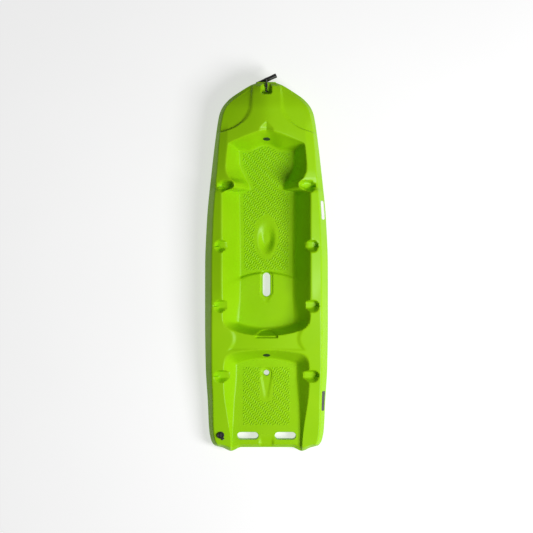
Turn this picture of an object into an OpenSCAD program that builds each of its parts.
// Short sit-on-top kayak for a child: a hollow moulded shell with an open cockpit,
// a rear well, four pairs of gunwale troughs, through drains and a bow tow toggle.
// +Y points to the bow, +X to starboard, +Z up. The origin is on the keel's flat,
// halfway along the shell.

/* [Shell] */
// Length of the shell from the nose to the two stern lobes
length = 1829; // [1750:1:2300]
// Beam over the seam at its widest
beam = 611; // [560:1:760]
// Wall of the moulded shell
wall = 3.2; // [2.5:0.1:4.2]
// Height of the seam amidships
seam_h = 100; // [90:1:115]
// How far the seam rises from amidships to the nose
seam_bow_rise = 62; // [50:1:75]
// How far the seam drops from amidships to the stern
seam_stern_drop = 42; // [30:1:50]
// Width of the flat land where the two halves of the shell are welded
land_w = 4; // [3:0.5:6]
// Thickness of each half's edge at the land
land_t = 3; // [2:0.5:4]
// Rise of the two arches between the keel and the runners
arch_h = 22; // [10:1:30]
// Half-width of the flat keel
keel_half = 32; // [26:1:40]

/* [Deck] */
// Height of the gunwale beside the cockpit
gunwale_h = 184; // [170:1:200]
// How far the gunwale drops from amidships to the stern
gunwale_stern_drop = 84; // [70:1:95]
// Rise of the foredeck's ridge over its edges
ridge_rise = 42; // [25:1:55]
// Length of the foredeck, from the nose to the cockpit's rim
foredeck_l = 237; // [220:1:300]
// Length of the bridge between the cockpit and the rear well
bridge_l = 62; // [50:1:90]
// Step between the foredeck's raised middle and its side panels
panel_step = 6; // [3:0.5:9]
// How far the stern lobes stand behind the stern's straight edge
lobe = 19; // [8:1:24]

/* [Cockpit] */
// Length of the cockpit between its front and rear rims
cockpit_l = 1017; // [960:1:1240]
// Half-width of the cockpit's rim
rim_half = 221; // [205:1:232]
// Half-width of the cockpit's floor
floor_half = 130; // [110:1:150]
// Height of the cockpit's floor over the keel
floor_h = 54; // [46:1:62]
// Height of the seat over the floor
seat_rise = 12; // [6:1:18]
// Rise of the floor from the knee braces to the foot end
foot_rise = 24; // [10:1:34]
// How far the knee braces reach in past the rim
knee_reach = 62; // [30:1:80]
// Distance from the front rim back to the knee braces
knee_back = 262; // [230:1:300]
// Depth of the tapered scoop in the floor
scoop_d = 24; // [12:1:26]

/* [Rear well] */
// Half-width of the rear well's rim at its front
well_rim_half = 216; // [200:1:225]
// Half-width of the rear well's floor at its front
well_floor_half = 146; // [120:1:160]
// Height of the rear well's floor at its drain
well_floor_h = 68; // [60:1:74]

/* [Gunwale troughs] */
// Length of each trough along the gunwale
trough_l = 70; // [50:1:84]
// Depth of each trough
trough_d = 36; // [20:1:42]

/* [Drains and hand slots] */
// Width of the long drain slot in the seat
slot_w = 37; // [28:1:44]
// Length of the long drain slot in the seat
slot_l = 118; // [90:1:150]
// Radius of the round drain in the rear well
drain_r = 14; // [10:0.5:17]
// Width of each hand slot at the stern, along the kayak
hand_w = 36; // [30:1:40]
// Length of each hand slot at the stern, across the kayak
hand_l = 105; // [90:1:120]
// Distance of each hand slot's middle from the centreline
hand_x = 93.5; // [88:0.5:100]
// Depth of the shallow channel round a drain
channel_d = 6; // [3:0.5:8]

/* [Tow toggle] */
// Length of the toggle's grip
toggle_l = 108; // [90:1:125]
// Radius of the toggle's grip
toggle_r = 12; // [10:0.5:13]
// Radius of the rope
rope_r = 3; // [2.5:0.25:3.5]
// Radius of the rope's hole through the bow
rope_hole_r = 5.5; // [5:0.25:6.5]
// Angle of the toggle across the bow, seen from above
toggle_turn = 25; // [10:1:30]

/* [Stern drain plug] */
// Radius of the plug's head
plug_head_r = 15.5; // [14:0.5:17]
// Radius of the plug's threaded shank
plug_shank_r = 8.6; // [7:0.1:9.5]
// Rise of the thread in one turn
thread_pitch = 3; // [2:0.5:4]
// Radius of the bushing's flange
bushing_flange_r = 18; // [17:0.5:20]
// Distance of the plug from the centreline, to port
plug_x = 228; // [220:1:235]

/* [Mould plugs] */
// Radius of the cap of each plug in the end walls
cap_r = 18; // [15:0.5:20]
// Radius of the stem of each plug in the end walls
stem_r = 11; // [8:0.5:13]

/* [Fits] */
// Radial clearance of a piece that turns or slides
running = 0.4; // [0.3:0.05:0.6]
// Gap between pieces that lie on each other
gap = 0.3; // [0.2:0.05:0.5]

/* [Hidden] */
$fn = 48;

green = [0.62, 0.83, 0.14];
black = [0.12, 0.12, 0.13];

// Where the parts of the deck begin and end along Y.
nose_y = length / 2;
stern_y = -length / 2 + lobe;
cockpit_front = nose_y - foredeck_l;
cockpit_rear = cockpit_front - cockpit_l;
well_front = cockpit_rear - bridge_l;
knee_y = cockpit_front - knee_back;
seat_y = cockpit_rear + 314;
slot_y = cockpit_rear + 255.5;
scoop_y = cockpit_front - 524;
scoop_half = [48, 97];
drain_y = well_front - 123;
hand_y = stern_y + 58.5;
plug_y = stern_y + 64;
rope_y = nose_y - 46;
trough_ys = [knee_y - 18, cockpit_front - 573, cockpit_rear + 148, well_front - 138];

// Plan and side profile, each a list of [y, value] from the stern to the bow.
half = beam / 2;
seam_plan = [
    [stern_y, half - 80], [stern_y + 6, half - 52], [stern_y + 18, half - 38],
    [stern_y + 42, half - 27], [stern_y + 90, half - 19], [stern_y + 240, half - 12],
    [stern_y + 400, half - 3], [stern_y + 620, half], [0, half - 0.5], [nose_y - 680, half - 10],
    [nose_y - 435, half - 34], [nose_y - 235, half - 59], [nose_y - 165, half - 71],
    [nose_y - 128, half - 85], [nose_y - 87, half - 119], [nose_y - 47, half - 176],
    [nose_y - 17, half - 226], [nose_y, half - 262]
];
shoulder_w = [
    [stern_y, 26], [stern_y + 90, 27], [stern_y + 400, 36], [0, 41], [nose_y - 435, 33],
    [nose_y - 235, 24], [nose_y - 128, 24], [nose_y - 60, 38], [nose_y, 34]
];
seam_side = [
    [stern_y + 50, seam_h - seam_stern_drop], [-500, seam_h - 18], [0, seam_h],
    [450, seam_h + 15], [nose_y - 134, seam_h + seam_bow_rise - 24], [nose_y, seam_h + seam_bow_rise]
];
gunwale_side = [
    [stern_y, gunwale_h - gunwale_stern_drop], [stern_y + 90, gunwale_h - gunwale_stern_drop + 5],
    [stern_y + 300, gunwale_h - 56], [-400, gunwale_h - 33], [-200, gunwale_h - 16],
    [0, gunwale_h - 5], [300, gunwale_h], [nose_y - 300, gunwale_h], [nose_y - 134, gunwale_h - 3],
    [nose_y, gunwale_h - 3]
];
crown_side = [
    [stern_y, 3], [-400, 6], [-200, 14], [300, 22], [cockpit_front - 90, ridge_rise - 6],
    [cockpit_front, ridge_rise], [nose_y - 140, ridge_rise], [nose_y - 60, ridge_rise - 16],
    [nose_y, 12]
];
keel_side = [
    [stern_y, 24], [stern_y + 100, 8], [stern_y + 240, 0], [0, 0], [nose_y - 430, 0],
    [nose_y - 300, 7], [nose_y - 160, 32], [nose_y - 60, 84], [nose_y, seam_h + seam_bow_rise - 22]
];
chine_w = [
    [stern_y, 40], [stern_y + 240, 58], [nose_y - 435, 66], [nose_y - 128, 84],
    [nose_y - 47, 62], [nose_y, 20]
];
rim_plan = [
    [cockpit_rear, rim_half], [knee_y - 48, rim_half], [knee_y - 38, rim_half - 8],
    [knee_y - 20, rim_half - knee_reach + 6], [knee_y, rim_half - knee_reach],
    [knee_y + 30, rim_half - 34], [knee_y + 70, rim_half - 20], [cockpit_front, rim_half - 35]
];
floor_plan = [
    [cockpit_rear, floor_half + 8], [cockpit_rear + 120, floor_half], [seat_y, floor_half - 4],
    [knee_y - 50, floor_half + 2], [knee_y - 38, floor_half + 8], [knee_y - 26, floor_half - 52],
    [knee_y + 40, floor_half - 24], [knee_y + 98, floor_half], [cockpit_front, floor_half + 8]
];
well_rim_plan = [
    [stern_y, well_rim_half - 38], [well_front - 166, well_rim_half], [well_front, well_rim_half]
];
well_floor_plan = [
    [stern_y, well_floor_half + 25], [well_front - 281, well_floor_half + 13],
    [well_front - 125, well_floor_half], [well_front, well_floor_half]
];
notch_d = 18;
// Radius of the ridge's crest, outward fall of the gunwales, and rake of the front rim.
ridge_r = 40;
lean = 0.25;
rim_rake = 0.42;
panel_plan = [
    [cockpit_front - 30, 420], [cockpit_front - 12, 230], [cockpit_front + 18, 146],
    [cockpit_front + 64, 96], [cockpit_front + 101, 79], [cockpit_front + 178, 73], [nose_y, 70]
];

// Smooth 0-to-1 step of x from a to b, in either direction.
function ramp(a, b, x) =
    let (t = max(0, min(1, (x - a) / (b - a))))
    t * t * (3 - 2 * t);

// Slope of a profile at its point i.
function slope(t, i) =
    i == 0 || i == len(t) - 1
        ? 0
        : let (
            before = (t[i][1] - t[i - 1][1]) / (t[i][0] - t[i - 1][0]),
            after = (t[i + 1][1] - t[i][1]) / (t[i + 1][0] - t[i][0])
        )
        before * after <= 0 ? 0 : 2 * before * after / (before + after);

// Smooth curve through a profile's points that doesn't overshoot them.
function curve(t, x) =
    x <= t[0][0] ? t[0][1]
    : x >= t[len(t) - 1][0] ? t[len(t) - 1][1]
    : let (
        i = max([for (k = [0 : len(t) - 2]) if (t[k][0] <= x) k]),
        w = t[i + 1][0] - t[i][0],
        s = (x - t[i][0]) / w
    )
    t[i][1] * (2 * s * s * s - 3 * s * s + 1) + t[i + 1][1] * (3 * s * s - 2 * s * s * s)
        + w * (slope(t, i) * (s * s * s - 2 * s * s + s) + slope(t, i + 1) * (s * s * s - s * s));

// A numeric list, or a list of [y, value], in rising order with steps of at least `apart`.
function first_of(v) = is_list(v) ? v[0] : v;
function sorted(v) =
    len(v) < 2 ? v
    : let (
        p = first_of(v[floor(len(v) / 2)]),
        low = [for (e = v) if (first_of(e) < p) e],
        same = [for (e = v) if (first_of(e) == p) e],
        high = [for (e = v) if (first_of(e) > p) e]
    )
    concat(sorted(low), [same[0]], sorted(high));
function spread(v, apart) =
    [for (i = [0 : len(v) - 1]) if (i == 0 || i == len(v) - 1 || v[i] - v[i - 1] > apart) v[i]];

// How far up a sloping wall a point is: each input runs from 0 at the wall's foot to 1
// at its top. Where two walls meet the corner is round, and tighter for a higher power p.
function meet(a, b, c, p = 3) =
    let (
        sum = pow(max(0, a), p) + pow(max(0, b), p) + pow(max(0, c), p)
    )
    min(1, pow(sum, 1 / p));

// Straight wall from 0 to 1 with a rounded foot and a rounded top.
function wall_curve(u, foot, top) =
    let (m = 1 / (1 - foot / 2 - top / 2))
    u < foot ? m * u * u / (2 * foot)
    : u < 1 - top ? m * (u - foot / 2)
    : 1 - m * (1 - u) * (1 - u) / (2 * top);

// The stern edge lies lobe_at(x) behind stern_y.
function lobe_at(x) = lobe * ramp(1, 0, abs(abs(x) - 177) / 52);
function place(x, y) = [x, y - lobe_at(x) * ramp(stern_y + 42, stern_y, y)];

// Distance from the line along the centre between y = a and y = b.
function from_line(x, y, a, b) = norm([x, y - max(a, min(b, y))]);

// Everything about a cross-section at y that doesn't depend on x.
function section(y) = [
    curve(seam_plan, y),
    curve(seam_plan, y) - curve(shoulder_w, y),
    curve(rim_plan, y),
    curve(floor_plan, y),
    curve(well_rim_plan, y),
    curve(well_floor_plan, y),
    curve(seam_side, y),
    curve(gunwale_side, y),
    curve(crown_side, y),
    curve(panel_plan, y)
];

function trough_at(y) =
    max([for (t = trough_ys)
        ramp(t + trough_l / 2, t + trough_l / 3, y) * ramp(t - trough_l / 2, t - 2, y)]);

function channel(x, y, a, b, r) = channel_d * ramp(r + 7, r, from_line(x, y, a, b));

// Floor of the cockpit: foot end, scoop, seat, and the channel round the slot.
function cockpit_floor(x, y) =
    let (
        e = norm([x / scoop_half[0], (y - scoop_y) / scoop_half[1]]),
        seat_front = seat_y - 26 * pow(x / floor_half, 2)
    )
    floor_h
        + foot_rise * ramp(knee_y - 60, cockpit_front - 80, y)
        + seat_rise * ramp(seat_front + 8, seat_front - 6, y)
        - scoop_d * ramp(1, 0.25, e) * ramp(scoop_y + 110, scoop_y - 60, y)
        - channel(x, y, slot_y - slot_l / 2 + slot_w / 2, slot_y + slot_l / 2 - slot_w / 2, 27);

// Floor of the rear well, with the channel round its drain.
function well_floor(x, y) =
    well_floor_h + 12 * ramp(drain_y - 60, stern_y + 60, y)
        - channel(x, y, drain_y - 10, drain_y, 23)
        - 5 * ramp(37, 26, abs(x)) * ramp(hand_y, stern_y + 20, y);

// Height of the deck's outer surface.
function deck_z(x, y, s) =
    let (
        ax = abs(x),
        seam_x = s[0],
        top_x = max(1, s[1]),
        // the crowned top, with the foredeck's panels, its front notch and the bridge's dip
        notch_half = 34 * ramp(cockpit_front + 46, cockpit_front, y) + 1,
        ridge = (norm([ax, ridge_r]) - ridge_r) / (norm([top_x, ridge_r]) - ridge_r),
        top = s[7] + s[8] * (1 - min(1, ridge))
            - lean * max(0, min(ax, top_x) - s[2] - land_w) * ramp(-230, -60, y)
                * ramp(cockpit_front + 60, cockpit_front - 20, y)
            - panel_step * ramp(s[9] - 3, s[9] + 5, ax)
            - notch_d * max(0, 1 - ax / notch_half) * ramp(cockpit_front + 46, cockpit_front, y)
                * ramp(cockpit_front - 26, cockpit_front - 2, y)
            - 6 * ramp(162, 152, ax) * ramp(cockpit_rear + 26, cockpit_rear + 6, y)
                * ramp(well_front - 6, well_front + 10, y),
        // the shoulder down to the seam
        v = meet(
            (ax - top_x) / max(1, seam_x - top_x),
            (y - nose_y + 24) / 24,
            (stern_y + 20 - y) / 20
        ),
        shell = top + (s[6] + land_t - top) * wall_curve(v, 0.3, 0.01),
        // the cockpit
        front_rim = cockpit_front - rim_rake * (norm([ax, ridge_r]) - ridge_r),
        front_floor = cockpit_front - 98 + 27 * ramp(86, 8, ax),
        rear_rim = cockpit_rear + 24 * pow(ax / 159, 2),
        rear_floor = cockpit_rear + 44 + 20 * pow(ax / 120, 2),
        u = meet(
            (ax - s[3]) / (s[2] - s[3]),
            (y - front_floor) / max(8, front_rim - front_floor),
            (rear_floor - y) / max(8, rear_floor - rear_rim),
            y > knee_y - 60 ? 8 : 3
        ),
        bottom = cockpit_floor(x, y),
        cockpit = y > well_front + 10 ? bottom + (shell - bottom) * wall_curve(u, 0.2, 0.1) : shell,
        // the rear well, open at the stern
        back_rim = well_front - 14 * pow(ax / 159, 2),
        back_floor = well_front - 54 - 16 * pow(ax / 116, 2),
        w = meet((ax - s[5]) / (s[4] - s[5]), (y - back_floor) / max(8, back_rim - back_floor), 0),
        base = well_floor(x, y),
        stern = ramp(0, 1, max(0, (stern_y + 20 - y) / 20)),
        low = base + (s[6] + land_t - base) * stern,
        deck = y < cockpit_rear - 10 ? low + (cockpit - low) * wall_curve(w, 0.2, 0.12) : cockpit,
        // the troughs across the gunwale
        cut = s[7] + 6 - trough_d * trough_at(y),
        dished = trough_at(y) > 0.01 && ax > floor_half ? min(deck, cut) : deck,
        // the recess for the rope in the nose
        r = meet((ax - 14) / 15, (nose_y - 52 - y) / 14, 0),
        recess = s[6] + land_t + 9
    )
    y > nose_y - 70 && v < 0.98
        ? min(dished, recess + (dished - recess) * wall_curve(r, 0.3, 0.2))
        : dished;

function deck_at(x, y) = deck_z(x, y, section(y));

// Height of the hull's outer surface.
function hull_z(x, y, s) =
    let (
        ax = abs(x),
        seam_x = s[0],
        side = min(curve(chine_w, y), seam_x - 8),
        keel = curve(keel_side, y),
        span = max(20, seam_x - side - 2 * keel_half),
        t = max(0, min(1, (ax - keel_half) / span)),
        arch = arch_h * pow(sin(180 * t), 2) * ramp(nose_y - 160, nose_y - 420, y)
            * ramp(stern_y + 30, stern_y + 120, y),
        deep = keel + 6 * ramp(0.3, 1, ax / seam_x) * ramp(nose_y - 500, nose_y - 200, y) + arch,
        u = meet((ax - seam_x + side) / side, (y - nose_y + 26) / 26, (stern_y + 44 - y) / 44)
    )
    deep + (s[6] - land_t - deep) * pow(u, 1.7);

function hull_at(x, y) = hull_z(x, y, section(y));

// Each mould plug sits on one flat strip of its end wall, between these distances from
// the rear well's and the cockpit's front rim.
seat_low = 46;
seat_high = 22;
plug_low = 55;
plug_high = 28;

// Cross-sections of the shell, close together where its shape changes quickly.
rows = spread(sorted(concat(
    [for (d = [0, land_w, 14, 23, 36, 58, 78, 98, 150, 220, 300]) stern_y + d],
    [for (d = [218, 174, 156, 138, 115, 98, 84, 66, 54, seat_low, seat_high, 6]) well_front - d],
    [for (d = [-4, 14, 32, 52, 100, 116, 130, 150, 166, 178]) cockpit_rear + d],
    [for (d = [-66, -58, -45, 45, 58, 66, 74]) slot_y + d],
    [for (d = [-36, -20, -3, 21, 32]) trough_ys[1] + d],
    [scoop_y - 60, scoop_y + 60, scoop_y + 110],
    [for (d = [-120, -53, -44, -35, -26, -16, -2, 6, 17, 34, 70, 120]) knee_y + d],
    [for (d = [98, 80, 66, plug_low, plug_high, 14, 2, -10, -26, -46, -84]) cockpit_front - d],
    [for (d = [128, 100, 80, 64, 54, 46, 36, 24, 13, land_w, 0]) nose_y - d]
)), 3);

// Lines along the shell, each held inside its own share of the half-beam so that they
// close up in order towards the nose. The last two bound the weld's land.
function mix(a, b, t) = a + (b - a) * t;
function rising(v, step) =
    [for (i = 0, x = v[0]; i < len(v); i = i + 1, x = i < len(v) ? max(x + step, v[i]) : 0) x];
function held(lines, shares, out) =
    concat(
        rising([for (i = [0 : len(lines) - 1]) min(lines[i], out * shares[i])], out * 0.02),
        [max(out - land_w, out * 0.96), out]
    );
function deck_lines(y, s) =
    let (
        aft = ramp(cockpit_rear, well_front, y),
        foot = mix(s[3], s[5], aft),
        rim = mix(s[2], s[4], aft)
    )
    held(
        [0, 26, 35, scoop_half[0] + 2, foot - 26, foot, mix(foot, rim, 0.3), mix(foot, rim, 0.7), rim,
            mix(rim, s[1], 0.5), s[1], mix(s[1], s[0], 0.35)],
        [0, 0.1, 0.16, 0.22, 0.4, 0.5, 0.6, 0.7, 0.78, 0.82, 0.86, 0.91],
        s[0]
    );
function hull_lines(s) =
    held(
        [0, keel_half, 78, 125, 172, mix(172, s[0], 0.3), mix(172, s[0], 0.6), mix(172, s[0], 0.82)],
        [0, 0.14, 0.28, 0.44, 0.6, 0.72, 0.82, 0.91],
        s[0]
    );

function mirrored(v) = concat([for (i = [len(v) - 1 : -1 : 1]) -v[i]], v);

// Closed shell between two height grids that share their plan.
module shell_between(points_top, points_low) {
    ny = len(points_top);
    nx = len(points_top[0]);
    all = concat([for (r = points_top) for (p = r) p], [for (r = points_low) for (p = r) p]);
    low = nx * ny;
    function at(j, i) = j * nx + i;
    top_faces = [
        for (j = [0 : ny - 2]) for (i = [0 : nx - 2])
            for (f = (i < (nx - 1) / 2)
                ? [[at(j, i), at(j + 1, i), at(j + 1, i + 1)], [at(j, i), at(j + 1, i + 1), at(j, i + 1)]]
                : [[at(j, i), at(j + 1, i), at(j, i + 1)], [at(j, i + 1), at(j + 1, i), at(j + 1, i + 1)]])
                f
    ];
    low_faces = [for (f = top_faces) [f[0] + low, f[2] + low, f[1] + low]];
    edge = concat(
        [for (i = [0 : nx - 2]) [at(0, i + 1), at(0, i)]],
        [for (i = [0 : nx - 2]) [at(ny - 1, i), at(ny - 1, i + 1)]],
        [for (j = [0 : ny - 2]) [at(j, 0), at(j + 1, 0)]],
        [for (j = [0 : ny - 2]) [at(j + 1, nx - 1), at(j, nx - 1)]]
    );
    sides = [for (e = edge) for (f = [[e[1], e[0], e[0] + low], [e[1], e[0] + low, e[1] + low]]) f];
    polyhedron(all, concat(top_faces, low_faces, sides));
}

// The upright thickness of a sheet at point (j, i) of a height grid.
function upright(g, j, i) =
    let (
        a = g[j][min(len(g[j]) - 1, i + 1)] - g[j][max(0, i - 1)],
        b = g[min(len(g) - 1, j + 1)][i] - g[max(0, j - 1)][i],
        n = cross(a, b)
    )
    wall * min(3, norm(n) / max(0.001, abs(n[2])));

// A vertex grid of a surface: which of the two is 0 for the deck and 1 for the hull.
function surface_grid(hull) =
    [for (y = rows)
        let (s = section(y))
        [for (x = mirrored(hull ? hull_lines(s) : deck_lines(y, s)))
            concat(place(x, y), [hull ? hull_z(x, y, s) : deck_z(x, y, s)])]];

function inner_grid(g, hull) =
    let (ny = len(g), nx = len(g[0]))
    [for (j = [0 : ny - 1])
        let (seam = curve(seam_side, rows[j]))
        [for (i = [0 : nx - 1])
            let (
                edge = i < 2 || i > nx - 3 || j < 2 || j > ny - 3,
                t = upright(g, j, i),
                z = edge ? seam : hull ? min(seam - 0.5, g[j][i][2] + t) : g[j][i][2] - t
            )
            [g[j][i][0], g[j][i][1], z]]];

// A rounded slot's outline, centred, running along X when it is wider than it is tall.
module slot_outline(w, l) {
    square([w, l - w], center = true);
    translate([0, (l - w) / 2])
        circle(d = w);
    translate([0, -(l - w) / 2])
        circle(d = w);
}

module upright_tube(x, y, low, high) {
    translate([x, y, low])
        linear_extrude(high - low)
            children();
}

// Tilt along Y of a surface of heights [aft, fore] that are `apart` from each other.
function tilt(heights, apart) = atan2(heights[1] - heights[0], apart);

// Column of an outline, cut off along two planes through [height, tilt].
module column(x, y, low, high) {
    reach = 260;
    translate([x, y, 0])
        difference() {
            translate([0, 0, low[0] - 60])
                linear_extrude(high[0] - low[0] + 120)
                    children();
            translate([0, 0, high[0]])
                rotate([high[1], 0, 0])
                    translate([-reach / 2, -reach / 2, 0])
                        cube(reach);
            translate([0, 0, low[0]])
                rotate([low[1], 0, 0])
                    translate([-reach / 2, -reach / 2, -reach])
                        cube(reach);
        }
}

// Seat of a mould plug, halfway up a flat strip of wall: [y, height, tilt of the wall].
function wall_seat(a, b) =
    [(a + b) / 2, (deck_at(0, a) + deck_at(0, b)) / 2, atan2(deck_at(0, b) - deck_at(0, a), b - a)];
front_seat = wall_seat(cockpit_front - plug_low, cockpit_front - plug_high);
rear_seat = wall_seat(well_front - seat_low, well_front - seat_high);
boss_t = 7;
cap_t = 2.5;

module on_wall(seat) {
    translate([0, seat[0], seat[1]])
        rotate([seat[2], 0, 0])
            children();
}

bushing_barrel_r = plug_shank_r + 3.6;
pad_z = deck_at(-plug_x, plug_y) - 1.5;
bushing_l = 18;

// Anchor of the plug's tether: its place, its size and its underside over the pad.
tether_turn = -58;
tether_out = 22.5;
anchor = [7, 16, 4];
pin_r = 1.6;
tether_at = [-plug_x + tether_out * cos(tether_turn), plug_y + tether_out * sin(tether_turn)];
anchor_z = gap + max([for (a = [-1, 1]) for (b = [-1, 1])
    deck_at(
        tether_at[0] + (a * anchor[0] * cos(tether_turn) - b * anchor[1] * sin(tether_turn)) / 2,
        tether_at[1] + (a * anchor[0] * sin(tether_turn) + b * anchor[1] * cos(tether_turn)) / 2
    )]);

// Ends of the tubes that join the deck to the hull, each [height, tilt].
hand_low = [hull_at(hand_x, hand_y), tilt([hull_at(hand_x, hand_y - 20), hull_at(hand_x, hand_y + 20)], 40)];
hand_high = [deck_at(hand_x, hand_y) - 1, 0];
rope_low = [hull_at(0, rope_y), tilt([hull_at(0, rope_y - 8), hull_at(0, rope_y + 8)], 16)];
rope_high = [deck_at(0, rope_y) - wall / 2, tilt([deck_at(0, rope_y - 4), deck_at(0, rope_y + 8)], 12)];

module deck_shell() color(green) {
    grid = surface_grid(false);
    difference() {
        union() {
            shell_between(grid, inner_grid(grid, false));
            upright_tube(0, slot_y, 0, deck_at(0, slot_y) - 1)
                slot_outline(slot_w + 2 * wall, slot_l + 2 * wall);
            upright_tube(0, drain_y, 0, deck_at(0, drain_y) - 1)
                circle(drain_r + wall);
            for (side = [-1, 1])
                column(side * hand_x, hand_y, hand_low, hand_high)
                    rotate(90)
                        slot_outline(hand_w + 2 * wall, hand_l + 2 * wall);
            column(0, rope_y, rope_low, rope_high)
                circle(rope_hole_r + wall);
            for (seat = [front_seat, rear_seat])
                on_wall(seat)
                    translate([0, 0, -boss_t])
                        cylinder(r = cap_r + 2, h = boss_t - wall / 2);
            translate([-plug_x, plug_y, pad_z - 5])
                cylinder(r = bushing_flange_r + 4, h = 4.6);
        }
        upright_tube(0, slot_y, -20, 120)
            slot_outline(slot_w, slot_l);
        upright_tube(0, drain_y, -20, 140)
            circle(drain_r);
        for (side = [-1, 1])
            upright_tube(side * hand_x, hand_y, -20, 160)
                rotate(90)
                    slot_outline(hand_w, hand_l);
        upright_tube(0, rope_y, 0, 260)
            circle(rope_hole_r);
        for (seat = [front_seat, rear_seat])
            on_wall(seat) {
                translate([0, 0, -2.4])
                    cylinder(r = cap_r + gap, h = 30);
                translate([0, 0, -30])
                    cylinder(r = stem_r, h = 40);
            }
        translate([-plug_x, plug_y, pad_z])
            cylinder(r = bushing_flange_r + gap, h = 30);
        translate([-plug_x, plug_y, pad_z - 20])
            cylinder(r = bushing_barrel_r, h = 40);
        translate([tether_at[0], tether_at[1], pad_z - 20])
            cylinder(r = pin_r, h = 40);
    }
}

module hull_shell() color(green) {
    grid = surface_grid(true);
    difference() {
        shell_between(inner_grid(grid, true), grid);
        upright_tube(0, slot_y, -20, 60)
            slot_outline(slot_w + 2 * wall, slot_l + 2 * wall);
        upright_tube(0, drain_y, -20, 60)
            circle(drain_r + wall);
        for (side = [-1, 1])
            upright_tube(side * hand_x, hand_y, -20, 80)
                rotate(90)
                    slot_outline(hand_w + 2 * wall, hand_l + 2 * wall);
        upright_tube(0, rope_y, 0, 160)
            circle(rope_hole_r + wall);
    }
}

// Blocks of buoyancy foam, sealed inside the shell.
module bow_foam() color("white") {
    low = hull_at(0, cockpit_front + 92) + wall + 10;
    high = gunwale_h - 14;
    translate([0, cockpit_front + 92, 0])
        rotate([90, 0, 0])
            linear_extrude(80)
                polygon([[-95, low + 12], [-60, low], [60, low], [95, low + 12], [95, high - 6],
                    [0, high + 14], [-95, high - 6]]);
}

module stern_foam() color("white") {
    low = arch_h + wall + 4;
    high = well_floor_h - wall - 6;
    translate([-75, stern_y + 130, low])
        cube([150, 130, high - low]);
}

module side_foam() color("white") {
    bar_l = 560;
    translate([0, bar_l / 2 - 40, 0])
        rotate([90, 0, 0])
            linear_extrude(bar_l)
                polygon([[half - 108, 58], [half - 52, 58], [half - 42, 78], [half - 42, seam_h + 18],
                    [half - 92, seam_h + 18], [half - 108, seam_h - 4]]);
}

module side_foam_starboard() {
    side_foam();
}

module side_foam_port() {
    mirror([1, 0, 0])
        side_foam();
}

// Push-in plug: a low domed cap, a stem and a barb behind the wall.
module mould_plug() color([0.2, 0.28, 0.2]) {
    translate([0, 0, -2.4 + gap / 3])
        cylinder(r1 = cap_r, r2 = cap_r - 1.2, h = cap_t);
    translate([0, 0, -boss_t - 3])
        cylinder(r = stem_r - gap / 2, h = boss_t + 1);
    translate([0, 0, -boss_t - 5])
        cylinder(r1 = stem_r - 2, r2 = stem_r + 1.2, h = 4.6);
}

module cockpit_plug() {
    on_wall(front_seat)
        mould_plug();
}

module well_plug() {
    on_wall(rear_seat)
        mould_plug();
}

module at_drain_plug() {
    translate([-plug_x, plug_y, pad_z])
        children();
}

flange_t = 2.5;
gasket_t = 1.6;
eye_t = 1.5;

// Threaded bushing of the stern drain: a flange on the deck and a barrel through it.
module drain_bushing() color(black) at_drain_plug() {
    difference() {
        union() {
            cylinder(r = bushing_flange_r, h = flange_t);
            translate([0, 0, -bushing_l])
                cylinder(r = bushing_barrel_r - 0.1, h = bushing_l + 0.5);
        }
        translate([0, 0, -bushing_l - 1])
            cylinder(r = plug_shank_r + running, h = bushing_l + 10);
    }
}

module drain_gasket() color("dimgray") at_drain_plug() {
    translate([0, 0, flange_t + gap])
        difference() {
            cylinder(r = plug_shank_r + 4.5, h = gasket_t);
            translate([0, 0, -1])
                cylinder(r = plug_shank_r + 0.05, h = gasket_t + 2);
        }
}

// Eye of the tether, round the plug's neck and free to turn on it.
module tether_eye() color(black) at_drain_plug() {
    translate([0, 0, flange_t + gap])
        difference() {
            cylinder(r = plug_head_r - 0.5, h = gasket_t + eye_t - gap);
            translate([0, 0, -1])
                cylinder(r = plug_shank_r + 4.5 + running, h = gasket_t + eye_t + 2);
        }
}

head_z = flange_t + gap + gasket_t + eye_t + gap;
head_h = 7;
plug_reach = 15;

module drain_plug() color(black) at_drain_plug() {
    difference() {
        union() {
            translate([0, 0, head_z])
                cylinder(r = plug_head_r, h = head_h - 2);
            translate([0, 0, head_z + head_h - 2])
                cylinder(r1 = plug_head_r, r2 = plug_head_r - 2, h = 2);
            translate([0, 0, flange_t + gap + gasket_t])
                cylinder(r = plug_shank_r + 3.5, h = head_z - flange_t - gap - gasket_t);
            translate([0, 0, -plug_reach])
                cylinder(r = plug_shank_r, h = plug_reach + head_z);
        }
        // two finger hollows leave a grip rib across the head
        for (side = [-1, 1])
            translate([side * 8.6, 0, head_z + 3])
                linear_extrude(10)
                    square([8.4, 18], center = true);
    }
}

// Anchor of the tether beside the plug, and the pin that holds it to the deck.
module at_tether() {
    translate([tether_at[0], tether_at[1], anchor_z])
        rotate(tether_turn)
            children();
}

module drain_tether() color(black) at_tether() {
    difference() {
        translate([-anchor[0] / 2, -anchor[1] / 2, 0])
            cube(anchor);
        translate([0, 0, -1])
            cylinder(r = pin_r, h = anchor[2] + 2);
    }
}

module tether_pin() color("dimgray") at_tether() {
    translate([0, 0, -8])
        cylinder(r = pin_r, h = 8 + anchor[2] + 0.8);
    translate([0, 0, anchor[2]])
        cylinder(r1 = 3, r2 = 2, h = 1.4);
}

// Bow rope: from a knot under the bow, up its hole, over the nose and down to the toggle.
pivot = [0, nose_y + 5.5, curve(seam_side, nose_y) + 2.5];
toggle_drop = 45.5;
drop_lean = 10;
toggle_at = pivot + [0, drop_lean, -toggle_drop];

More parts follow.
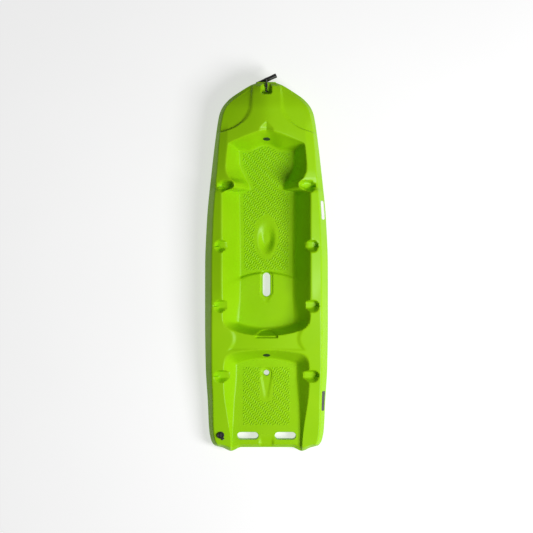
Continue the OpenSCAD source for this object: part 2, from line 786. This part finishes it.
// A tube of n sides along a route.
module tube(route, r, n) {
    function along(k) =
        let (d = route[min(len(route) - 1, k + 1)] - route[max(0, k - 1)])
        d / norm(d);
    rings = [for (k = [0 : len(route) - 1])
        let (d = along(k), up = [-d[0] * d[0] + 1, -d[0] * d[1], -d[0] * d[2]], a = up / norm(up), b = cross(d, a))
        [for (i = [0 : n - 1]) route[k] + r * (cos(360 * i / n) * a + sin(360 * i / n) * b)]];
    pts = [for (ring = rings) for (p = ring) p];
    skin = [for (k = [0 : len(route) - 2]) for (i = [0 : n - 1])
        for (f = [
            [k * n + i, k * n + (i + 1) % n, (k + 1) * n + (i + 1) % n],
            [k * n + i, (k + 1) * n + (i + 1) % n, (k + 1) * n + i]
        ]) f];
    last = (len(route) - 1) * n;
    polyhedron(pts, concat(
        [for (f = skin) [f[0], f[2], f[1]]],
        [[for (i = [0 : n - 1]) i]],
        [[for (i = [n - 1 : -1 : 0]) last + i]]
    ));
}

// The rope's route through the hole and along the recess, as [y, z] from the hole's middle
// at the recess's floor.
rope_route = [
    [0, -80.5], [0, -54], [0, -28], [0, -8], [0.6, 1], [3, 6.5], [8, 8.6], [14, 9], [20, 9.4],
    [27, 10], [33, 10.4], [38, 10], [43, 8.2], [47, 5], [50, 0]
];
rope_base = [rope_y, curve(seam_side, rope_y) + land_t + 9];
rope_points = [for (p = rope_route) [0, rope_base[0] + p[0], rope_base[1] + p[1]]];

module toggle_rope() color(black) {
    tube(rope_points, rope_r, 8);
}

module rope_drop() color(black) {
    mouth = toggle_at + [0, 0, toggle_r + 4];
    // the round bend over the nose, which the drop swings about
    translate(pivot)
        sphere(r = rope_r + 0.1);
    tube([pivot, pivot + [0, 0.8, -8], mouth + [0, -0.8, 8], mouth, toggle_at + [0, 0, -3]], rope_r, 8);
}

module knot(r, h) {
    rotate_extrude($fn = 24)
        polygon([[0, 0], [r * 0.7, 0], [r, h * 0.25], [r, h * 0.75], [r * 0.7, h], [0, h]]);
}

module lower_knot() color(black) {
    translate(rope_points[0] + [0, 0, -14])
        knot(7.5, 14);
}

module upper_knot() color(black) {
    translate([0, rope_base[0] + 18, rope_base[1] + 11])
        rotate([-84, 0, 0])
            knot(5.4, 17);
}

module toggle_knot() color(black) {
    translate(toggle_at + [0, 0, -toggle_r + 1])
        knot(5.6, 8);
}

// Moulded grip with flared ends and a hole for the rope.
module tow_toggle() color(black) {
    e = toggle_l / 2;
    translate(toggle_at)
        rotate(toggle_turn)
            difference() {
                rotate([0, 90, 0])
                    rotate_extrude($fn = 48)
                        polygon([[0, -e], [toggle_r - 4, -e], [toggle_r - 1, -e + 2], [toggle_r, -e + 6],
                            [toggle_r - 1.5, -e + 22], [toggle_r - 0.5, -12], [toggle_r, 0],
                            [toggle_r - 0.5, 12], [toggle_r - 1.5, e - 22], [toggle_r, e - 6],
                            [toggle_r - 1, e - 2], [toggle_r - 4, e], [0, e]]);
                translate([0, 0, -30])
                    cylinder(r = rope_r + 0.8, h = 60);
                translate([0, 0, -30])
                    cylinder(r = 6.2, h = 30 - toggle_r + 10);
            }
}

// A thin plate that follows the shoulder of the deck, between two shares of its width.
module shoulder_plate(y0, y1, v0, v1, t) {
    n = 6;
    m = 3;
    function spot(i, j, lift) =
        let (
            y = y0 + (y1 - y0) * j / n,
            s = section(y),
            x = mix(s[1], s[0], v0 + (v1 - v0) * i / m),
            z = deck_z(x, y, s),
            d = deck_z(x + 1, y, s) - z,
            nrm = [-d, 0, 1] / norm([-d, 0, 1])
        )
        [x, y, z] + lift * nrm;
    top = [for (j = [0 : n]) [for (i = [0 : m]) spot(i, j, gap + t)]];
    low = [for (j = [0 : n]) [for (i = [0 : m]) spot(i, j, gap)]];
    shell_between(top, low);
}

module side_badge() color("gray") {
    shoulder_plate(knee_y - 84, knee_y - 179, 0.4, 0.8, 0.5);
}

module caution_label() color("gainsboro") {
    shoulder_plate(stern_y + 283, stern_y + 184, 0.4, 0.85, 0.5);
}

deck_shell();
hull_shell();
bow_foam();
stern_foam();
side_foam_port();
side_foam_starboard();
cockpit_plug();
well_plug();
drain_bushing();
drain_gasket();
drain_plug();
tether_eye();
drain_tether();
tether_pin();
tow_toggle();
toggle_rope();
rope_drop();
lower_knot();
upper_knot();
toggle_knot();
side_badge();
caution_label();
